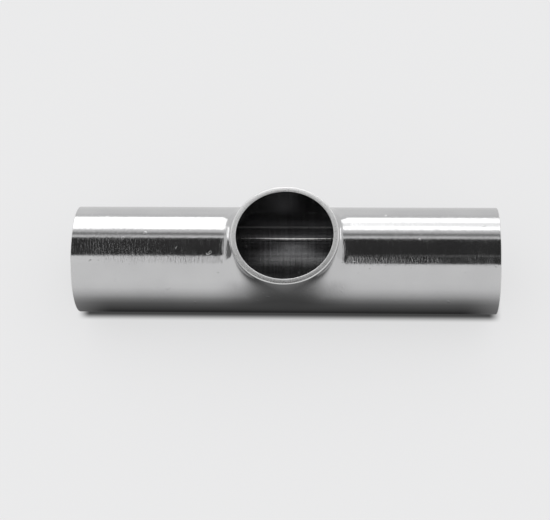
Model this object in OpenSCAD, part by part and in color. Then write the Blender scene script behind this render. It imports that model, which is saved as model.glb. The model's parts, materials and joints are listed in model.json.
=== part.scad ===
// Tube tee with one short pulled outlet.
// Frame: +X along the run, +Z up the outlet, origin where the two axes cross.

/* [Tube] */
// Outside diameter of the run and of the outlet
tube_od = 38.1; // [30:0.1:50]
// Wall thickness of the tube
wall = 2; // [1.2:0.1:3]

/* [Run] */
// Length of the run from one end face to the other
run_length = 150; // [110:1:250]
// Distance from the middle of the fitting to the middle of each girth weld
weld_station = 33; // [32:0.5:40]

/* [Outlet] */
// Height of the outlet's face above the crown of the run
outlet_rise = 1.4; // [1:0.1:6]
// Reach of the flare along the run, measured at the crown
flare_reach = 2.8; // [1:0.1:4]
// Share of the outlet's rise that the flare takes up
flare_share = 0.75; // [0.3:0.05:0.9]

/* [Welds] */
// Width of the girth welds along the run
girth_weld_width = 3; // [2:0.1:5]
// Width of the lengthwise seam welds round the tube
seam_weld_width = 1.6; // [1:0.1:3]
// Angle of the centre part's seam, turned from straight down towards +Y
body_seam_angle = 52; // [-60:1:60]
// Angle of the legs' seams, turned from straight down towards +Y
leg_seam_angle = 30; // [-60:5:60]

/* [Hidden] */

tube_r = tube_od / 2;
bore_r = tube_r - wall;
outlet_height = tube_r + outlet_rise;
flare_rise = outlet_rise * flare_share;
half_run = run_length / 2;
body_half = weld_station - girth_weld_width / 2;
leg_start = weld_station + girth_weld_width / 2;
leg_length = half_run - leg_start;
past = 1;                  // how far a cutter runs past what it cuts
round_fn = 180;            // segments of the true circles

flank_inset = 0.4;         // how much the outlet narrows where it dies out at the flanks
mouth_depth = 6;           // depth below the outlet's face over which it is a true cylinder

flare_rows = 16;           // steps of each flare strip, from flank to flank
flare_steps = 3;           // steps along the flare's curve
flare_end = 72;            // angle from the crown at which a flare strip has died out
sink = 0.05;               // how far the flare's edges lie under the skin
root_depth = 1;            // how far the flare's buried edge lies under the skin
steel = [0.78, 0.79, 0.80];
weld_metal = [0.66, 0.66, 0.65];
seam_metal = [0.70, 0.70, 0.69];

// How full the flare is at an angle from the crown: 1 at the crown, 0 where it dies out
function fullness(angle) = (cos(angle) - cos(flare_end)) / (1 - cos(flare_end));

// Outline of the flare at an angle from the crown, as [x, z] from the corner of the two tubes:
// the buried edge, the edge on the run, the hollow curve, then the edge on the outlet.
function flare_outline(angle) =
    let (
        reach = flare_reach * fullness(angle),
        rise = flare_rise * fullness(angle)
    )
    concat(
        [[-root_depth, -root_depth], [reach, -sink]],
        [
            for (s = [1 : flare_steps - 1])
                let (turn = 90 * s / flare_steps)
                [reach * (1 - sin(turn)), rise * (1 - cos(turn))]
        ],
        [[-sink, rise]]
    );

// The strip that rounds the corner between the outlet and the right-hand side of the run
module flare_strip() {
    count = flare_steps + 2;
    points = [
        for (row = [0 : flare_rows])
            let (
                angle = flare_end * (2 * row / flare_rows - 1),
                corner = tube_r * cos(angle)
            )
            for (p = flare_outline(angle)) [corner + p[0], tube_r * sin(angle), corner + p[1]]
    ];
    sides = [
        for (row = [0 : flare_rows - 1], i = [0 : count - 1])
            let (
                a = row * count + i,
                b = row * count + (i + 1) % count,
                c = b + count,
                d = a + count
            )
            for (t = [[a, b, c], [a, c, d]]) t
    ];
    first_end = [for (i = [count - 1 : -1 : 0]) i];
    last_end = [for (i = [0 : count - 1]) flare_rows * count + i];
    polyhedron(points = points, faces = concat(sides, [first_end, last_end]), convexity = 4);
}

// A round bar along X
module bar_x(radius, start, length) {
    translate([start, 0, 0])
        rotate([0, 90, 0])
            cylinder(r = radius, h = length, $fn = round_fn);
}

// A straight tube along X
module tube_x(start, length) {
    difference() {
        bar_x(tube_r, start, length);
        bar_x(bore_r, start - past, length + 2 * past);
    }
}

// The block that a lengthwise seam fills, cut straight through the lower wall
module seam_block(start, length, angle) {
    rotate([angle, 0, 0])
        translate([start, -seam_weld_width / 2, -tube_r - past])
            cube([length, seam_weld_width, wall + 2 * past]);
}

// A lengthwise seam weld, flush with the wall inside and outside
module seam_weld(start, length, angle) {
    intersection() {
        tube_x(start, length);
        seam_block(start, length, angle);
    }
}

// A leg: straight tube with its own slot for the seam
module leg(start) {
    difference() {
        tube_x(start, leg_length);
        seam_block(start - past, leg_length + 2 * past, leg_seam_angle);
    }
}

// A round plug up the outlet's axis. Below the mouth it narrows a little towards the run's
// axis, so that two tubes of one size don't just touch along their flanks.
module plug_z(radius, top) {
    rotate_extrude($fn = round_fn)
        polygon([
            [0, 0],
            [radius - flank_inset, 0],
            [radius, outlet_height - mouth_depth],
            [radius, top],
            [0, top]
        ]);
}

module tee_body() {
    color(steel)
        difference() {
            union() {
                bar_x(tube_r, -body_half, 2 * body_half);
                plug_z(tube_r, outlet_height);
                flare_strip();
                mirror([1, 0, 0])
                    flare_strip();
            }
            bar_x(bore_r, -body_half - past, 2 * (body_half + past));
            plug_z(bore_r, outlet_height + past);
            seam_block(-body_half - past, 2 * (body_half + past), body_seam_angle);
        }
}

module left_leg() {
    color(steel)
        leg(-half_run);
}

module right_leg() {
    color(steel)
        leg(leg_start);
}

module left_girth_weld() {
    color(weld_metal)
        tube_x(-leg_start, girth_weld_width);
}

module right_girth_weld() {
    color(weld_metal)
        tube_x(body_half, girth_weld_width);
}

module body_seam_weld() {
    color(seam_metal)
        seam_weld(-body_half, 2 * body_half, body_seam_angle);
}

module left_seam_weld() {
    color(seam_metal)
        seam_weld(-half_run, leg_length, leg_seam_angle);
}

module right_seam_weld() {
    color(seam_metal)
        seam_weld(leg_start, leg_length, leg_seam_angle);
}

tee_body();
left_leg();
right_leg();
left_girth_weld();
right_girth_weld();
body_seam_weld();
left_seam_weld();
right_seam_weld();
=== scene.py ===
import json
import math

import bpy
from mathutils import Matrix, Vector


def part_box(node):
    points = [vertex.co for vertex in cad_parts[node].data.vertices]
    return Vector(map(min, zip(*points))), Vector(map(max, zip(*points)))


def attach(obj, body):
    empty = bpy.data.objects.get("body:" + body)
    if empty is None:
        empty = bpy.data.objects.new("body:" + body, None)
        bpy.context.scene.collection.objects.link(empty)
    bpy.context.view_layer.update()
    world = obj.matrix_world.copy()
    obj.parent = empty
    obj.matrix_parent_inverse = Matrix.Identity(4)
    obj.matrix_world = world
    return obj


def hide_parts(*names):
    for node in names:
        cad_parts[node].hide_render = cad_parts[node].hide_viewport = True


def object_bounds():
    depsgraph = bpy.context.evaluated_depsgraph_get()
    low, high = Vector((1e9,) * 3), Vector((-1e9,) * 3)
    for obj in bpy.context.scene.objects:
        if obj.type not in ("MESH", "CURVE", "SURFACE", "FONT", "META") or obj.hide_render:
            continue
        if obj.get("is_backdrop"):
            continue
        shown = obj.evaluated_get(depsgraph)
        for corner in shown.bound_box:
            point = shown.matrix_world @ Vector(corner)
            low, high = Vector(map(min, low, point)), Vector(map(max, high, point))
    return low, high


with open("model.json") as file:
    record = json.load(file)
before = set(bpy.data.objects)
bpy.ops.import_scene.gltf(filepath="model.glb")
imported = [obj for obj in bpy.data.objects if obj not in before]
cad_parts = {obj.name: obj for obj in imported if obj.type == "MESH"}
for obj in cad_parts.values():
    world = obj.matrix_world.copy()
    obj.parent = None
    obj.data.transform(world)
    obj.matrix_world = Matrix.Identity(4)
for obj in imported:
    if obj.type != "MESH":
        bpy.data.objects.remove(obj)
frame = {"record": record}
CAD_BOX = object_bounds()

bl_info = {
    "name": "Tube tee fitting",
    "version": (1, 0, 0),
    "blender": (4, 5, 0),
    "location": "3D View > Sidebar > Tee fitting",
    "description": "Builds a polished tube tee with a short pulled outlet, and a studio to show it in",
    "category": "Object",
}

MM = 0.001
MOUNTS = {mount["name"]: mount for mount in frame["record"]["mounts"]}
BODY_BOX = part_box("tee_body")
LEG_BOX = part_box("right_leg")
SEAM_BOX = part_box("body_seam_weld")
LEG_SEAM_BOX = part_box("right_seam_weld")
SEAM_MIDDLE = (SEAM_BOX[0] + SEAM_BOX[1]) / 2
LEG_SEAM_MIDDLE = (LEG_SEAM_BOX[0] + LEG_SEAM_BOX[1]) / 2
HALF_TURN = math.pi
QUARTER_TURN = math.pi / 2
BLACK = (0.0, 0.0, 0.0, 1)

# Widths round the tube: a lengthwise seam weld, as in the CAD part, and a painted reflection,
# a lighter line along the bore that stands in for a faint reflected line
SEAM_WIDTH = 1.6 * MM
PAINTED_REFLECTION_WIDTH = 0.6 * MM

# How near to a face or a radius a vertex counts as lying on it
NEAR = 0.01 * MM

# Steps in a full turn round a tube, and the fewest in part of a turn
STEPS_A_TURN = 240
LEAST_STEPS = 12

# Steps along the formed centre's outside, from the end of the run to the lip
RUN_STEPS = 16
FLARE_STEPS = 28
WALL_STEPS = 12
SHOULDER_STEPS = 10
LIP_STEPS = 8

# Steps along its inside, from the lip's inner edge to the end of the run
EDGE_STEPS = 5
OUTLET_STEPS = 14
THROAT_STEPS = 12
BORE_STEPS = 12

# Patterns of the finish, as noise scales along X, Y and Z. A high scale is a fine pattern, so
# marks that run round the run are high along X, and drawn marks along the run are low.
GRAIN = {
    "fine": (2600.0, 90.0, 90.0),
    "frayed": (1900.0, 380.0, 380.0),
    "hairlines": (3300.0, 260.0, 260.0),
    "coarse": (520.0, 40.0, 40.0),
    "specks": (520.0, 520.0, 520.0),
    "clouds": (45.0, 45.0, 45.0),
    "drawn": (14.0, 1100.0, 1100.0),
    "bore_marks": (900.0, 20.0, 20.0),
    "turning": (3000.0, 3000.0, 3000.0),
}

# Light round the fitting: angle in degrees from the front horizon (-Y), over the top (90)
# to the back horizon (180) and on below the floor (270), with its brightness.
DOME = (
    (0, 0.72),
    (54.5, 0.74),
    (56.5, 0.026),
    (75, 0.024),
    (111.5, 0.028),
    (113.5, 0.85),
    (117, 0.65),
    (119.5, 0.22),
    (123.5, 0.22),
    (126, 0.62),
    (132, 0.75),
    (136, 2.2),
    (167, 2.2),
    (171, 0.68),
    (185, 0.80),
    (240, 0.72),
)

# Brightness of the plain wall beyond the ends of the dome's bands, and the brightness that
# the top of the dome's ramp stands for
WALL_LIGHT = 0.72
BRIGHTEST = 4.0

# How bright the front card's glow is: distance from the line where it touches the run, as a share
# of SHADE_REACH, with its brightness. Near that line the glow is darkened by painted shade, where the
# fitting's own shade would fall.
SHADE_REACH = 32 * MM
CONTACT_SHADE = (
    (0.0, 0.02),
    (0.165, 0.04),
    (0.27, 0.10),
    (0.36, 0.165),
    (0.45, 0.32),
    (0.54, 0.58),
    (0.645, 0.79),
    (0.77, 0.95),
    (1.0, 1.0),
)


# ---------------------------------------------------------------- settings


class TeeSizes(bpy.types.PropertyGroup):
    """Sizes of the fitting, in metres, with defaults from the frame"""

    tube_radius: bpy.props.FloatProperty(
        name="Tube radius",
        description="Outside radius of the run and of the outlet",
        default=LEG_BOX[1].y,
        unit="LENGTH",
    )
    bore_radius: bpy.props.FloatProperty(
        name="Bore radius",
        description="Inside radius of the run and of the outlet",
        default=MOUNTS["run_bore"]["dims"]["r_mm"] * MM,
        unit="LENGTH",
    )
    half_run: bpy.props.FloatProperty(
        name="Half run",
        description="From the outlet's axis to an end of the run",
        default=LEG_BOX[1].x,
        unit="LENGTH",
    )
    leg_start: bpy.props.FloatProperty(
        name="Leg start",
        description="From the outlet's axis to the inner end of a leg",
        default=LEG_BOX[0].x,
        unit="LENGTH",
    )
    body_half: bpy.props.FloatProperty(
        name="Body half length",
        description="From the outlet's axis to an end of the formed centre",
        default=BODY_BOX[1].x,
        unit="LENGTH",
    )
    outlet_height: bpy.props.FloatProperty(
        name="Outlet height",
        description="From the run's axis to the outlet's face",
        default=BODY_BOX[1].z,
        unit="LENGTH",
    )
    crown_reach: bpy.props.FloatProperty(
        name="Crown reach",
        description="How far the hollow round the outlet runs out along the crown",
        default=4.6 * MM,
        unit="LENGTH",
    )
    flank_reach: bpy.props.FloatProperty(
        name="Flank reach",
        description="How far the hollow round the outlet runs out along the flanks",
        default=9 * MM,
        unit="LENGTH",
    )
    reach_growth: bpy.props.FloatProperty(
        name="Reach growth",
        description="How late the hollow widens from the crown to the flanks; 1 is evenly",
        default=1.5,
        min=1,
        max=4,
    )
    flank_wall: bpy.props.FloatProperty(
        name="Flank wall",
        description="Share of the outlet's wall that stays straight at the flanks",
        default=0.35,
        min=0,
        max=1,
        subtype="FACTOR",
    )
    least_wall: bpy.props.FloatProperty(
        name="Least wall",
        description="Straight wall between the hollow and the outlet's outer edge",
        default=0.05 * MM,
        unit="LENGTH",
    )
    throat_radius: bpy.props.FloatProperty(
        name="Throat radius",
        description="Radius of the rounded edge between the two bores, at the crown",
        default=3 * MM,
        unit="LENGTH",
    )
    shoulder_radius: bpy.props.FloatProperty(
        name="Shoulder radius",
        description="Radius of the outlet's outer edge",
        default=0.5 * MM,
        unit="LENGTH",
    )
    lip_crown: bpy.props.FloatProperty(
        name="Lip crown",
        description="Radius of the gentle crown across the outlet's face",
        default=11 * MM,
        unit="LENGTH",
    )
    edge_break: bpy.props.FloatProperty(
        name="Edge break",
        description="Radius of the broken edges at the mouths",
        default=0.25 * MM,
        unit="LENGTH",
    )
    root_bead: bpy.props.FloatProperty(
        name="Root bead",
        description="How far a girth weld stands proud inside the bore",
        default=0.12 * MM,
        unit="LENGTH",
    )
    seam_sweep: bpy.props.FloatProperty(
        name="Seam sweep",
        description="Angle that a lengthwise seam takes up round the tube",
        default=SEAM_WIDTH / LEG_BOX[1].y,
        subtype="ANGLE",
    )
    body_seam_angle: bpy.props.FloatProperty(
        name="Centre seam angle",
        description="Place of the centre's seam, turned from straight down towards +Y",
        default=math.atan2(SEAM_MIDDLE.y, -SEAM_MIDDLE.z),
        subtype="ANGLE",
    )
    seam_crown: bpy.props.FloatProperty(
        name="Seam crown",
        description="How far a lengthwise seam stands proud inside the bore",
        default=0.19 * MM,
        unit="LENGTH",
    )
    leg_seam_angle: bpy.props.FloatProperty(
        name="Leg seam angle",
        description="Place of the legs' seams, turned from straight down towards +Y",
        default=math.atan2(LEG_SEAM_MIDDLE.y, -LEG_SEAM_MIDDLE.z),
        subtype="ANGLE",
    )
    # The angle of a painted reflection: a lighter line in the bore that stands in for a faint
    # reflected line
    die_line_angle: bpy.props.FloatProperty(
        name="Painted reflection angle",
        description="Place of a painted reflection line, turned from straight down towards +Y",
        default=math.radians(70),
        subtype="ANGLE",
    )


class TeeFinish(bpy.types.PropertyGroup):
    """Colours and polish of the metal"""

    steel: bpy.props.FloatVectorProperty(
        name="Steel",
        description="Colour of the polished steel",
        default=(0.63, 0.63, 0.635),
        size=3,
        subtype="COLOR",
    )
    steel_dull: bpy.props.FloatVectorProperty(
        name="Dull steel",
        description="Colour where the polish is thinner",
        default=(0.56, 0.56, 0.565),
        size=3,
        subtype="COLOR",
    )
    weld: bpy.props.FloatVectorProperty(
        name="Weld metal",
        description="Colour of the weld metal inside the bore",
        default=(0.9, 0.89, 0.87),
        size=3,
        subtype="COLOR",
    )
    weld_roughness: bpy.props.FloatProperty(
        name="Weld roughness",
        description="Roughness of the weld metal inside the bores",
        default=0.18,
        min=0,
        max=1,
        subtype="FACTOR",
    )
    bore_steel: bpy.props.FloatVectorProperty(
        name="Bore steel",
        description="Colour of the duller steel inside the bores",
        default=(0.36, 0.36, 0.365),
        size=3,
        subtype="COLOR",
    )
    bore_dark: bpy.props.FloatVectorProperty(
        name="Bore streaks",
        description="Colour of the darker streaks inside the bores",
        default=(0.22, 0.22, 0.225),
        size=3,
        subtype="COLOR",
    )
    bore_roughness: bpy.props.FloatProperty(
        name="Bore roughness",
        description="Roughness of the steel inside the bores",
        default=0.24,
        min=0,
        max=1,
        subtype="FACTOR",
    )
    roughness: bpy.props.FloatProperty(
        name="Roughness",
        description="Roughness of the polished skin",
        default=0.10,
        min=0,
        max=1,
        subtype="FACTOR",
    )
    face_steel: bpy.props.FloatVectorProperty(
        name="Faced steel",
        description="Colour of the freshly cut steel at the mouths",
        default=(0.78, 0.78, 0.78),
        size=3,
        subtype="COLOR",
    )
    face_roughness: bpy.props.FloatProperty(
        name="Face roughness",
        description="Roughness of the faced ends and of the outlet's lip",
        default=0.3,
        min=0,
        max=1,
        subtype="FACTOR",
    )


class TeeStudio(bpy.types.PropertyGroup):
    """Camera, floor and light"""

    azimuth: bpy.props.FloatProperty(
        name="Camera azimuth",
        description="Turn of the camera round +Z, from in front of the fitting",
        default=math.radians(7.16),
        subtype="ANGLE",
    )
    elevation: bpy.props.FloatProperty(
        name="Camera elevation",
        description="Height of the camera above the horizon",
        default=math.radians(63.9),
        subtype="ANGLE",
    )
    roll: bpy.props.FloatProperty(
        name="Camera roll",
        description="Turn of the camera about its own line of sight",
        default=math.radians(-6.14),
        subtype="ANGLE",
    )
    distance: bpy.props.FloatProperty(
        name="Camera distance",
        description="From the camera to the point it looks at",
        default=0.511,
        unit="LENGTH",
    )
    aim: bpy.props.FloatProperty(
        name="Camera aim",
        description="Place along the run that the camera looks at",
        default=-4.26 * MM,
        unit="LENGTH",
    )
    lens: bpy.props.FloatProperty(
        name="Lens",
        description="Focal length in millimetres",
        default=92.7,
    )
    floor: bpy.props.FloatVectorProperty(
        name="Floor",
        description="Colour of the floor",
        default=(0.83, 0.83, 0.835),
        size=3,
        subtype="COLOR",
    )
    floor_glow: bpy.props.FloatProperty(
        name="Floor glow",
        description="Share of the floor's brightness that comes from below, as on a light table",
        default=0.75,
        min=0,
        max=1,
        subtype="FACTOR",
    )
    card_tilt: bpy.props.FloatProperty(
        name="Card tilt",
        description="Lean of the front card from flat, with its near edge down",
        default=math.radians(57.5),
        subtype="ANGLE",
    )


def sizes():
    """The fitting's sizes as they are set in the scene"""
    return bpy.context.scene.tee_sizes


# ---------------------------------------------------------------- shader maths


class Value:
    """A socket or a number. Arithmetic on it adds Math nodes."""

    def __init__(self, graph, source):
        self.graph = graph
        self.source = source

    def maths(self, operation, *others):
        """One Math node on this value and the others"""
        return self.graph.node("ShaderNodeMath", {"operation": operation}, self, *others)

    def __add__(self, other):
        return self.maths("ADD", other)

    def __sub__(self, other):
        return self.maths("SUBTRACT", other)

    def __rsub__(self, other):
        return Value(self.graph, other).maths("SUBTRACT", self)

    def __mul__(self, other):
        return self.maths("MULTIPLY", other)

    def __truediv__(self, other):
        return self.maths("DIVIDE", other)

    def __rtruediv__(self, other):
        return Value(self.graph, other).maths("DIVIDE", self)

    __radd__ = __add__
    __rmul__ = __mul__

    def blend(self, share, other):
        """This value where the share is 0, the other where it is 1"""
        return self + (other - self) * share

    def window(self, low, high, soft):
        """1 between low and high, 0 outside, with soft edges"""
        return self.smooth(low - soft, low) - self.smooth(high, high + soft)

    def smooth(self, low, high):
        """0 below low, 1 above high, smooth between"""
        settings = {"interpolation_type": "SMOOTHSTEP"}
        return self.graph.node("ShaderNodeMapRange", settings, self, low, high)


class Graph:
    """The node tree of a material or world"""

    def __init__(self, owner):
        owner.use_nodes = True
        self.tree = owner.node_tree
        self.tree.nodes.clear()

    def node(self, kind, settings=None, *values, output=0, **named):
        """Adds a node. Settings come first, then socket values or links, in order or by name."""
        node = self.tree.nodes.new(kind)
        for key, setting in (settings or {}).items():
            if key == "stops":
                self.place_stops(node.color_ramp.elements, setting)
            else:
                setattr(node, key, setting)
        for socket, value in zip(node.inputs, values):
            self.feed(socket, value)
        for key, value in named.items():
            self.feed(node.inputs[key.replace("_", " ")], value)
        return Value(self, node.outputs[output]) if node.outputs else node

    def feed(self, socket, value):
        """Links a value to a socket, or sets the socket's own number"""
        source = value.source if isinstance(value, Value) else value
        if isinstance(source, bpy.types.NodeSocket):
            self.tree.links.new(source, socket)
        elif source is not None:
            socket.default_value = source

    def place_stops(self, elements, stops):
        """Gives a new ramp, which has two stops of its own, its (position, grey) stops"""
        for index, (position, grey) in enumerate(stops):
            element = elements[index] if index < 2 else elements.new(position)
            element.position = position
            element.color = (grey, grey, grey, 1)

    def ramp(self, factor, stops):
        """A grey that follows the factor through (position, grey) stops"""
        return self.node("ShaderNodeValToRGB", {"stops": stops}, factor)

    def mix(self, factor, first, second):
        """A colour between two colours. The sockets for numbers and vectors are passed over."""
        passed = [None] * 5
        settings = {"data_type": "RGBA"}
        return self.node("ShaderNodeMix", settings, factor, *passed, first, second, output=2)

    def plain_shader(self, colour, glow, strength):
        """Ends the material as a matt surface with a glow of its own"""
        shader = self.node(
            "ShaderNodeBsdfPrincipled",
            None,
            Base_Color=colour,
            Roughness=1.0,
            Specular_IOR_Level=0.0,
            Emission_Color=glow,
            Emission_Strength=strength,
        )
        self.node("ShaderNodeOutputMaterial", None, shader)

    def axes(self, vector):
        """The three parts of a vector"""
        first = self.node("ShaderNodeSeparateXYZ", None, vector)
        return [Value(self, socket) for socket in first.source.node.outputs]


# ---------------------------------------------------------------- materials


def grain(graph, place, pattern, detail=2, roughness=0.5):
    """One pattern of the finish, as noise that is stretched by its own amount along each axis"""
    stretched = graph.node("ShaderNodeMapping", None, place, Scale=GRAIN[pattern])
    return graph.node(
        "ShaderNodeTexNoise",
        None,
        Vector=stretched,
        Scale=1.0,
        Detail=detail,
        Roughness=roughness,
    )


def steel_zones(s, x, y, z):
    """Where the bores are and where the faced mouths are: 1 inside, 0 outside"""
    run_radius = (y * y + z * z).maths("SQRT")
    outlet_radius = (x * x + y * y).maths("SQRT")
    below_axis = (z * -1.0).smooth(0.0, 1 * MM)
    nearest = run_radius.maths("MINIMUM", outlet_radius + below_axis)
    wall = s.tube_radius - s.bore_radius
    bore = 1.0 - nearest.smooth(s.bore_radius + 0.5 * wall, s.bore_radius + 0.75 * wall)
    lip = z.smooth(s.outlet_height - 0.5 * MM, s.outlet_height - 0.3 * MM)
    end = x.maths("ABSOLUTE").smooth(s.half_run - 0.3 * MM, s.half_run - 0.15 * MM)
    faced = lip.maths("MAXIMUM", end)
    return bore * (1.0 - faced), faced


def painted_reflection_line(s, y, z):
    """A painted reflection: a thin lighter line along the bore, 1 on the line, 0 beside it"""
    turn = y.maths("ARCTAN2", z * -1.0)
    width = PAINTED_REFLECTION_WIDTH / s.bore_radius
    return turn.window(s.die_line_angle, s.die_line_angle + width, 0.5 * width)


def polished_steel(name, bead=False):
    """Polished steel with fine marks round the run, a duller bore and faced mouths.
    A bead is a weld's inside: lighter than the bore, with ripples along it."""
    finish = bpy.context.scene.tee_finish
    s = sizes()
    material = bpy.data.materials.new(name)
    graph = Graph(material)
    place = graph.node("ShaderNodeTexCoord", output="Object")
    x, y, z = graph.axes(place)
    bore, faced = steel_zones(s, x, y, z)

    fine = grain(graph, place, "fine", detail=3, roughness=0.65)
    frayed = grain(graph, place, "frayed", detail=3, roughness=0.6)
    hairlines = grain(graph, place, "hairlines").smooth(0.60, 0.72)
    coarse = grain(graph, place, "coarse")
    specks = grain(graph, place, "specks", detail=0).smooth(0.80, 0.86)
    patches = grain(graph, place, "clouds", detail=3).smooth(0.35, 0.7)
    drawn = grain(graph, place, "drawn")
    bore_marks = grain(graph, place, "bore_marks")
    turning = grain(graph, place, "turning")

    darker = finish.bore_steel if bead else finish.bore_dark
    lighter = finish.weld if bead else finish.bore_steel
    streaks = bore_marks.smooth(0.35, 0.65) * 0.4 + drawn.smooth(0.35, 0.65) * 0.6
    inside = graph.mix(streaks, (*darker, 1), (*lighter, 1))
    # Painted reflection: a lighter line along the bore, in the weld's colour
    inside = graph.mix(painted_reflection_line(s, y, z) * 0.9, inside, (*finish.weld, 1))
    skin = graph.mix(patches * 0.6, (*finish.steel, 1), (*finish.steel_dull, 1))
    colour = graph.mix(bore, skin, inside)
    colour = graph.mix(faced, colour, (*finish.face_steel, 1))

    bore_polish = finish.weld_roughness if bead else finish.bore_roughness
    rough_skin = patches * 0.03 + (fine - 0.5) * 0.08 + hairlines * 0.10 + finish.roughness
    rough_bore = (bore_marks - 0.5) * 0.10 + bore_polish
    rough_face = (turning - 0.5) * 0.2 + finish.face_roughness
    roughness = rough_skin.blend(bore, rough_bore).blend(faced, rough_face)

    # Depths of the marks, in millimetres
    ripples = 0.05 if bead else 0.010
    relief = fine * 0.010 + coarse * 0.008 + frayed * (patches * 0.022 + 0.026) + specks * 0.05
    relief = relief + bore * (bore_marks * ripples + drawn * 0.026) + faced * turning * 0.012
    bump = graph.node("ShaderNodeBump", None, Strength=1.0, Distance=1.0 * MM, Height=relief)
    shader = graph.node(
        "ShaderNodeBsdfPrincipled",
        None,
        Base_Color=colour,
        Metallic=1.0,
        Roughness=roughness,
        Normal=bump,
    )
    graph.node("ShaderNodeOutputMaterial", None, shader)
    return material


# ---------------------------------------------------------------- modelling


def start_clean():
    """Object mode with nothing selected"""
    if bpy.context.mode != "OBJECT":
        bpy.ops.object.mode_set(mode="OBJECT")
    bpy.ops.object.select_all(action="DESELECT")


def finish_piece(piece, name, node, material):
    """Names a piece, smooths it, gives it its finish and puts it in place of its CAD node.
    Weighted normals keep the broken edges from tilting the shading of the long faces."""
    start_clean()
    bpy.context.view_layer.objects.active = piece
    piece.select_set(True)
    bpy.ops.object.transform_apply(location=True, rotation=True, scale=True)
    bpy.ops.object.shade_smooth_by_angle(angle=math.radians(35))
    bpy.ops.object.modifier_add(type="WEIGHTED_NORMAL")
    weighted = piece.modifiers[-1]
    weighted.weight = 100
    weighted.keep_sharp = True
    bpy.ops.object.modifier_apply(modifier=weighted.name)
    piece.name = name
    piece.data.name = name
    piece.data.materials.clear()
    piece.data.materials.append(material)
    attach(piece, "root")
    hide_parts(node)
    return piece


def select_vertices(piece, wanted):
    """In edit mode, selects the vertices whose place passes the test"""
    bpy.ops.mesh.select_all(action="DESELECT")
    bpy.ops.object.mode_set(mode="OBJECT")
    for vertex in piece.data.vertices:
        vertex.select = wanted(vertex.co)
    bpy.ops.object.mode_set(mode="EDIT")
    bpy.ops.mesh.select_mode(type="VERT")


def wall_section(low, high, inner, outer):
    """A rectangle in the XZ plane: a cut through the tube's wall. Stays in edit mode."""
    start_clean()
    bpy.ops.mesh.primitive_plane_add(size=1, rotation=(QUARTER_TURN, 0, 0))
    piece = bpy.context.object
    bpy.ops.object.transform_apply(location=True, rotation=True, scale=True)
    bpy.ops.object.mode_set(mode="EDIT")
    bpy.ops.mesh.select_all(action="SELECT")
    bpy.ops.transform.resize(value=(high - low, 1, outer - inner))
    bpy.ops.transform.translate(value=((low + high) / 2, 0, (inner + outer) / 2))
    return piece


def break_end(piece, end_x, radius):
    """Rounds the two corners of a wall section at one end"""
    select_vertices(piece, lambda place: abs(place.x - end_x) < NEAR)
    bpy.ops.mesh.bevel(offset=radius, segments=4, affect="VERTICES", profile=0.5)


def fix_order(mesh):
    """Puts a mesh's vertices and faces in the order of their places, because spin leaves them
    in an order of its own that changes from run to run"""
    places = [tuple(round(part, 8) for part in vertex.co) for vertex in mesh.vertices]
    order = sorted(range(len(places)), key=places.__getitem__)
    rank = {old: new for new, old in enumerate(order)}
    faces = []
    for face in mesh.polygons:
        loop = [rank[old] for old in face.vertices]
        first = loop.index(min(loop))
        faces.append(loop[first:] + loop[:first])
    mesh.clear_geometry()
    mesh.from_pydata([places[old] for old in order], [], sorted(faces))


def spin_wall(piece, start, sweep):
    """Spins a wall section about the run's axis, from an angle and through a sweep.
    Angles are turned from straight down towards +Y."""
    steps = max(LEAST_STEPS, round(STEPS_A_TURN * sweep / math.tau))
    bpy.ops.object.mode_set(mode="OBJECT")
    piece.data.transform(Matrix.Rotation(HALF_TURN - start, 4, "X").inverted())
    bpy.ops.object.mode_set(mode="EDIT")
    bpy.ops.mesh.select_all(action="SELECT")
    if sweep == math.tau:
        bpy.ops.mesh.delete(type="ONLY_FACE")
        bpy.ops.mesh.select_all(action="SELECT")
    bpy.ops.mesh.spin(steps=steps, angle=-sweep, center=(0, 0, 0), axis=(1, 0, 0))
    bpy.ops.mesh.select_all(action="SELECT")
    bpy.ops.mesh.remove_doubles(threshold=0.001 * MM)
    bpy.ops.mesh.normals_make_consistent(inside=False)
    bpy.ops.object.mode_set(mode="OBJECT")
    fix_order(piece.data)


def crown_root(piece, s, low, high):
    """Gives the inner edge of a wall section a low crown, as the root of a butt weld has"""
    select_vertices(piece, lambda place: place.z < s.bore_radius + NEAR)
    bpy.ops.mesh.subdivide(number_cuts=7)
    bpy.ops.object.mode_set(mode="OBJECT")
    for vertex in piece.data.vertices:
        if vertex.co.z < s.bore_radius + NEAR:
            share = (2 * vertex.co.x - low - high) / (high - low)
            vertex.co.z -= s.root_bead * (1 - share * share)
    bpy.ops.object.mode_set(mode="EDIT")


def raise_bead(piece, s, angle):
    """Raises the inside of a seam strip to a low crown along its middle line"""
    down = Vector((0, math.sin(angle), -math.cos(angle)))
    half = s.seam_sweep / 2
    for vertex in piece.data.vertices:
        radial = Vector((0, vertex.co.y, vertex.co.z))
        if radial.length < s.bore_radius + NEAR:
            share = min(1.0, radial.angle(down) / half)
            vertex.co -= radial.normalized() * s.seam_crown * (1 - share**1.7)


# ---------------------------------------------------------------- formed centre


def spread(first, last, steps):
    """Numbers from first to last in equal steps"""
    return [first + (last - first) * step / steps for step in range(steps + 1)]


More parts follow.
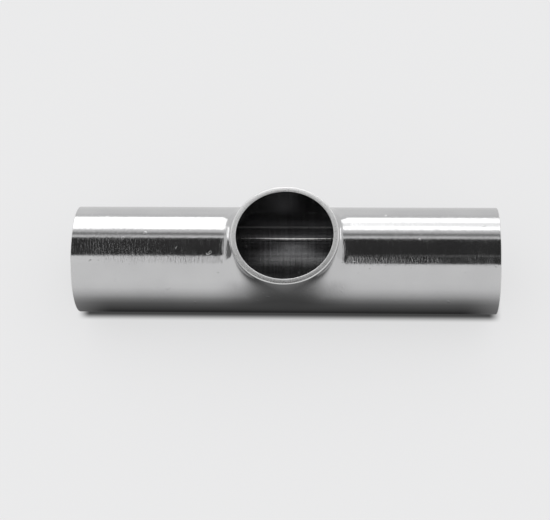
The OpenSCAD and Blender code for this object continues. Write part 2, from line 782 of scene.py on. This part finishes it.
def outer_outline(s, turn):
    """Points over the right-hand half of the centre's skin at one angle from the crown:
    from the end of the run, over the flare and the outlet's wall, to the lip's inner edge."""
    c, d = math.cos(turn), math.sin(turn)
    lip_inner = s.bore_radius + s.edge_break
    lip_width = s.tube_radius - s.shoulder_radius - lip_inner
    lip_slope = math.asin(lip_width / s.lip_crown)
    lip_drop = s.lip_crown * (1 - math.cos(lip_slope))
    shoulder_z = s.outlet_height - lip_drop - s.shoulder_radius * math.cos(lip_slope)
    shoulder_r = s.tube_radius - s.shoulder_radius
    reach = s.crown_reach + (s.flank_reach - s.crown_reach) * (1 - c) ** s.reach_growth
    foot_z = s.tube_radius * c
    rise = (shoulder_z - foot_z - s.least_wall) * (1 - s.flank_wall * (1 - c))
    wall_x = s.tube_radius * c
    run_x = wall_x + reach
    y = s.tube_radius * d
    points = []
    for share in spread(0, 1, RUN_STEPS)[:-1]:
        points.append((s.body_half + (run_x - s.body_half) * share, y, foot_z))
    for angle in spread(0, QUARTER_TURN, FLARE_STEPS)[:-1]:
        x = wall_x + reach * (1 - math.sin(angle))
        points.append((x, y, foot_z + rise * (1 - math.cos(angle))))
    for z in spread(foot_z + rise, shoulder_z, WALL_STEPS)[:-1]:
        points.append((wall_x, y, z))
    for angle in spread(QUARTER_TURN, lip_slope, SHOULDER_STEPS)[:-1]:
        radius = shoulder_r + s.shoulder_radius * math.sin(angle)
        points.append((radius * c, radius * d, shoulder_z + s.shoulder_radius * math.cos(angle)))
    for angle in spread(lip_slope, 0, LIP_STEPS):
        radius = lip_inner + s.lip_crown * math.sin(angle)
        drop = s.lip_crown * (1 - math.cos(angle))
        points.append((radius * c, radius * d, s.outlet_height - drop))
    return points


def inner_outline(s, turn):
    """Points down the right-hand half of the bores at one angle from the crown:
    from the lip's inner edge, down the outlet, round the throat, to the end of the run."""
    c, d = math.cos(turn), math.sin(turn)
    bore, edge, throat = s.bore_radius, s.edge_break, s.throat_radius
    y = bore * d
    points = []
    for angle in spread(0, QUARTER_TURN, EDGE_STEPS)[1:-1]:
        radius = bore + edge * (1 - math.sin(angle))
        points.append((radius * c, radius * d, s.outlet_height - edge * (1 - math.cos(angle))))
    throat_end = (bore + throat) * c
    for z in spread(s.outlet_height - edge, throat_end, OUTLET_STEPS)[:-1]:
        points.append((bore * c, y, z))
    for angle in spread(0, QUARTER_TURN, THROAT_STEPS)[:-1]:
        points.append((
            (bore + throat * (1 - math.cos(angle))) * c,
            y,
            (bore + throat * (1 - math.sin(angle))) * c,
        ))
    for share in spread(0, 1, BORE_STEPS):
        points.append((throat_end + (s.body_half - throat_end) * share, y, bore * c))
    return points


def places_along(points):
    """The different places along the run of some points, on both sides of the outlet"""
    found = []
    for x in sorted({side * point[0] for point in points for side in (1, -1)}):
        if not found or x - found[-1] > 0.0005 * MM:
            found.append(x)
    return found


def centre_mesh(s):
    """The formed centre as one closed skin: the upper half with the outlet, patches where the
    flare dies out at the flanks, and the lower half with a slot for the seam weld"""
    vertices, faces = [], []

    def add_grid(lines):
        first = len(vertices)
        width = len(lines[0])
        for line in lines:
            vertices.extend(line)
        for row in range(len(lines) - 1):
            for column in range(width - 1):
                corner = first + row * width + column
                faces.append((corner, corner + 1, corner + width + 1, corner + width))

    upper = []
    for turn in spread(-QUARTER_TURN, QUARTER_TURN, STEPS_A_TURN // 2):
        outer = outer_outline(s, turn)
        upper.append(outer + inner_outline(s, turn) + [outer[0]])
    add_grid(upper)
    add_grid([[(-x, y, z) for x, y, z in line] for line in upper])

    flare_end = RUN_STEPS + FLARE_STEPS + 1
    for turn in (-QUARTER_TURN, QUARTER_TURN):
        raised = outer_outline(s, turn)[RUN_STEPS:flare_end]
        for side in (1, -1):
            top = [(side * x, y, z) for x, y, z in raised]
            add_grid([top, [(x, y, 0.0) for x, y, z in top]])

    outside_x = places_along(outer_outline(s, QUARTER_TURN)[:flare_end])
    inside_x = places_along(inner_outline(s, QUARTER_TURN)[-BORE_STEPS - 1 :])
    seam_turn = HALF_TURN - s.body_seam_angle
    slot = s.seam_sweep / 2
    spans = (
        (QUARTER_TURN, seam_turn - slot),
        (3 * QUARTER_TURN, seam_turn + slot),
    )
    for start, stop in spans:
        lower = []
        steps = max(LEAST_STEPS, round(STEPS_A_TURN * abs(stop - start) / math.tau))
        for turn in spread(start, stop, steps):
            y, z = math.sin(turn), math.cos(turn)
            outside = [(x, y * s.tube_radius, z * s.tube_radius) for x in outside_x]
            inside = [(x, y * s.bore_radius, z * s.bore_radius) for x in reversed(inside_x)]
            lower.append(outside + inside + [outside[0]])
        add_grid(lower)
        first = len(vertices)
        cap = lower[-1][:-1]
        vertices.extend(cap)
        faces.append(tuple(range(first, first + len(cap))))
    return vertices, faces


# ---------------------------------------------------------------- operators


class TEE_OT_centre(bpy.types.Operator):
    """Build the formed centre with its pulled outlet"""

    bl_idname = "tee.centre"
    bl_label = "Formed centre"

    def execute(self, context):
        s = sizes()
        start_clean()
        mesh = bpy.data.meshes.new("centre")
        vertices, faces = centre_mesh(s)
        mesh.from_pydata(vertices, [], faces)
        piece = bpy.data.objects.new("centre", mesh)
        context.scene.collection.objects.link(piece)
        context.view_layer.objects.active = piece
        piece.select_set(True)
        bpy.ops.object.mode_set(mode="EDIT")
        bpy.ops.mesh.select_all(action="SELECT")
        bpy.ops.mesh.remove_doubles(threshold=0.0005 * MM)
        bpy.ops.mesh.dissolve_degenerate(threshold=0.0001 * MM)
        bpy.ops.mesh.select_all(action="SELECT")
        bpy.ops.mesh.normals_make_consistent(inside=False)
        bpy.ops.object.mode_set(mode="OBJECT")
        material = polished_steel("centre_steel")
        finish_piece(piece, "formed_centre", "tee_body", material)
        return {"FINISHED"}


class TEE_OT_legs(bpy.types.Operator):
    """Build the two legs of the run"""

    bl_idname = "tee.legs"
    bl_label = "Legs"

    def execute(self, context):
        s = sizes()
        material = polished_steel("leg_steel")
        for side, name in ((-1, "left_leg"), (1, "right_leg")):
            ends = sorted((side * s.leg_start, side * s.half_run))
            piece = wall_section(*ends, s.bore_radius, s.tube_radius)
            break_end(piece, side * s.half_run, s.edge_break)
            start = s.leg_seam_angle + s.seam_sweep / 2
            spin_wall(piece, start, math.tau - s.seam_sweep)
            finish_piece(piece, name + "_tube", name, material)
        return {"FINISHED"}


class TEE_OT_girth_welds(bpy.types.Operator):
    """Build the two welds that join the legs to the formed centre"""

    bl_idname = "tee.girth_welds"
    bl_label = "Girth welds"

    def execute(self, context):
        s = sizes()
        material = polished_steel("girth_weld_steel", bead=True)
        for side, name in ((-1, "left_girth_weld"), (1, "right_girth_weld")):
            ends = sorted((side * s.body_half, side * s.leg_start))
            piece = wall_section(*ends, s.bore_radius, s.tube_radius)
            crown_root(piece, s, *ends)
            spin_wall(piece, 0, math.tau)
            finish_piece(piece, name + "_ring", name, material)
        return {"FINISHED"}


class TEE_OT_seam_welds(bpy.types.Operator):
    """Build the lengthwise seam welds of the three tubes"""

    bl_idname = "tee.seam_welds"
    bl_label = "Seam welds"

    def execute(self, context):
        s = sizes()
        material = polished_steel("seam_steel", bead=True)
        runs = (
            ("left_seam_weld", -s.half_run, -s.leg_start, s.leg_seam_angle),
            ("body_seam_weld", -s.body_half, s.body_half, s.body_seam_angle),
            ("right_seam_weld", s.leg_start, s.half_run, s.leg_seam_angle),
        )
        for name, low, high, angle in runs:
            piece = wall_section(low, high, s.bore_radius, s.tube_radius)
            for end in (low, high):
                if abs(abs(end) - s.half_run) < NEAR:
                    break_end(piece, end, s.edge_break)
            spin_wall(piece, angle - s.seam_sweep / 2, s.seam_sweep)
            raise_bead(piece, s, angle)
            finish_piece(piece, name + "_strip", name, material)
        return {"FINISHED"}


class TEE_OT_studio(bpy.types.Operator):
    """Build the camera, the floor and the light"""

    bl_idname = "tee.studio"
    bl_label = "Studio"

    def execute(self, context):
        studio = context.scene.tee_studio
        self.camera(context, studio)
        self.floor(context, studio)
        self.card(context, studio)
        self.dome(context, studio)
        context.scene.view_settings.view_transform = "Standard"
        return {"FINISHED"}

    def camera(self, context, studio):
        """A camera that looks down on the fitting"""
        data = bpy.data.cameras.new("camera")
        camera = bpy.data.objects.new("camera", data)
        context.scene.collection.objects.link(camera)
        context.scene.camera = camera
        a, e = studio.azimuth, studio.elevation
        back = Vector((math.sin(a) * math.cos(e), -math.cos(a) * math.cos(e), math.sin(e)))
        level = Vector((math.cos(a), math.sin(a), 0))
        upward = back.cross(level)
        right = level * math.cos(studio.roll) + upward * math.sin(studio.roll)
        up = upward * math.cos(studio.roll) - level * math.sin(studio.roll)
        turn = Matrix((right, up, back)).transposed().to_4x4()
        place = Vector((studio.aim, 0, 0)) + back * studio.distance
        camera.matrix_world = Matrix.Translation(place) @ turn
        data.lens = studio.lens
        data.sensor_width = 36
        data.clip_start = 0.01
        data.clip_end = 50

    def floor(self, context, studio):
        """A pale light table that the fitting lies on, with a painted contact shadow where the two
        touch
        """
        start_clean()
        s = sizes()
        bpy.ops.mesh.primitive_plane_add(size=12, location=(0, 0, -s.tube_radius))
        floor = context.object
        floor.name = "floor"
        material = bpy.data.materials.new("floor_acrylic")
        graph = Graph(material)
        place = graph.node("ShaderNodeTexCoord", output="Object")
        x, y = graph.axes(place)[:2]
        ends = s.half_run - 1.5 * MM
        # Painted contact shadow: a dark strip on the floor under the run, sharp in front and fading
        # out behind
        painted_contact_shadow = y.smooth(-16 * MM, -13 * MM) * (1.0 - y.smooth(-2 * MM, 17 * MM))
        painted_contact_shadow = painted_contact_shadow * x.window(-ends, ends, 5 * MM)
        colour = graph.mix(painted_contact_shadow * 0.92, (*studio.floor, 1), BLACK)
        matt = graph.mix(1.0 - studio.floor_glow, BLACK, colour)
        graph.plain_shader(matt, colour, studio.floor_glow)
        floor.data.materials.append(material)
        floor.visible_glossy = False
        floor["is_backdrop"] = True

    def card(self, context, studio):
        """A pale glowing card that leans against the front of the fitting, with painted shade near the
        run. Only reflections show it.
        """
        start_clean()
        s = sizes()
        lean = studio.card_tilt
        normal = Vector((0, math.sin(lean), math.cos(lean)))
        bpy.ops.mesh.primitive_plane_add(
            size=3, location=-s.tube_radius * normal, rotation=(-lean, 0, 0)
        )
        card = context.object
        card.name = "front_card"
        material = bpy.data.materials.new("card_paper")
        graph = Graph(material)
        place = graph.node("ShaderNodeTexCoord", output="Object")
        x, y = graph.axes(place)[:2]
        along = x.maths("ABSOLUTE")
        away = y.maths("ABSOLUTE")
        shade = graph.ramp(away / SHADE_REACH, CONTACT_SHADE)

        # Painted shade of the outlet, a little way out from the run
        beside = 1.0 - along.smooth(4 * MM, 28 * MM)
        beyond = away.smooth(6 * MM, 14 * MM) * (1.0 - away.smooth(24 * MM, 44 * MM))
        shade = shade * (1.0 - beside * beyond * 0.62)

        # Towards the ends of the run the painted shade is lighter
        past_end = along.smooth(s.half_run - 13 * MM, s.half_run + 9 * MM)
        shade = shade.blend(past_end * 0.28, 1.0)

        graph.plain_shader(BLACK, shade, 0.80)
        card.data.materials.append(material)
        for ray in ("camera", "diffuse", "shadow", "transmission", "volume_scatter"):
            setattr(card, "visible_" + ray, False)
        card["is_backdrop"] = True

    def dome(self, context, studio):
        """A dome of light round the fitting. Reflections show its bands of light and dark,
        matt surfaces get even light, and the camera sees the floor's colour behind it all."""
        world = bpy.data.worlds.new("studio")
        context.scene.world = world
        graph = Graph(world)
        direction = graph.node("ShaderNodeTexCoord", output="Generated")
        x, y, z = graph.axes(direction)
        turn = (z.maths("ARCTAN2", y * -1.0) / math.tau + 1.0).maths("FRACT")
        bands = self.dome_bands(graph, x, turn)
        floor = (*studio.floor, 1)
        banded = graph.node("ShaderNodeBackground", None, Color=bands, Strength=BRIGHTEST)
        even = graph.node("ShaderNodeBackground", None, Color=(1, 1, 1, 1), Strength=1.0)
        plain = graph.node("ShaderNodeBackground", None, Color=floor, Strength=1.0)
        glossy = graph.node("ShaderNodeLightPath", output="Is Glossy Ray")
        eye = graph.node("ShaderNodeLightPath", output="Is Camera Ray")
        light = graph.node("ShaderNodeMixShader", None, glossy, even, banded)
        light = graph.node("ShaderNodeMixShader", None, eye, light, plain)
        graph.node("ShaderNodeOutputWorld", None, light)

    def dome_bands(self, graph, x, turn):
        """The dome's brightness as a share of BRIGHTEST, by the direction's part along X and
        its turn from the front horizon over the top"""
        wall = WALL_LIGHT / BRIGHTEST
        bands = graph.ramp(turn, [(angle / 360, light / BRIGHTEST) for angle, light in DOME])

        def arc(low, high, soft):
            """1 between two angles in degrees, 0 outside, with soft edges"""
            return turn.window(low / 360, high / 360, soft / 360)

        # The pale wall comes up a little higher on the left, and shows faintly on the right
        left = 1.0 - x.smooth(-0.068, -0.036)
        low = 1.0 - turn.smooth(70.5 / 360, 73.5 / 360)
        bands = bands.blend(left * low, wall * 1.15)
        streak = x.window(0.085, 0.14, 0.015) * arc(73.5, 75.5, 1.5)
        bands = bands.blend(streak * 0.3, wall)

        # The right-hand half of the light panel is dimmer along its middle
        bands = bands - x.smooth(-0.06, 0.0) * arc(145, 153, 5) * 0.23

        # The bands end to the left and right, and the plain wall goes on
        bands = (bands - wall) * x.window(-0.27, 0.29, 0.06) + wall

        # Two side lights behind, and a dark screen on the left
        side = (x - 0.03).maths("ABSOLUTE").window(0.50, 0.60, 0.04) * arc(120, 140, 8)
        screen = x.window(-0.98, -0.52, 0.06) * arc(60, 112, 5)
        return bands + side * 0.25 - screen * wall * 0.8


class TEE_PT_panel(bpy.types.Panel):
    """The fitting's operators and settings"""

    bl_idname = "TEE_PT_panel"
    bl_label = "Tee fitting"
    bl_space_type = "VIEW_3D"
    bl_region_type = "UI"
    bl_category = "Tee fitting"

    def draw(self, context):
        for operator in OPERATORS:
            self.layout.operator(operator.bl_idname)
        for group in (context.scene.tee_sizes, context.scene.tee_finish, context.scene.tee_studio):
            for name in group.__annotations__:
                self.layout.prop(group, name)


OPERATORS = (
    TEE_OT_studio,
    TEE_OT_centre,
    TEE_OT_legs,
    TEE_OT_girth_welds,
    TEE_OT_seam_welds,
)
CLASSES = (TeeSizes, TeeFinish, TeeStudio, *OPERATORS, TEE_PT_panel)


def register():
    for cls in CLASSES:
        bpy.utils.register_class(cls)
    bpy.types.Scene.tee_sizes = bpy.props.PointerProperty(type=TeeSizes)
    bpy.types.Scene.tee_finish = bpy.props.PointerProperty(type=TeeFinish)
    bpy.types.Scene.tee_studio = bpy.props.PointerProperty(type=TeeStudio)


def unregister():
    del bpy.types.Scene.tee_studio
    del bpy.types.Scene.tee_finish
    del bpy.types.Scene.tee_sizes
    for cls in reversed(CLASSES):
        bpy.utils.unregister_class(cls)


def main():
    """Builds the fitting and its studio, and works out its size"""
    register()
    bpy.ops.tee.studio()
    bpy.ops.tee.centre()
    bpy.ops.tee.legs()
    bpy.ops.tee.girth_welds()
    bpy.ops.tee.seam_welds()
    boxes = {"cad": CAD_BOX, "visual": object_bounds()}
    {key: [list(corner) for corner in box] for key, box in boxes.items()}


if __name__ == "__main__":
    main()
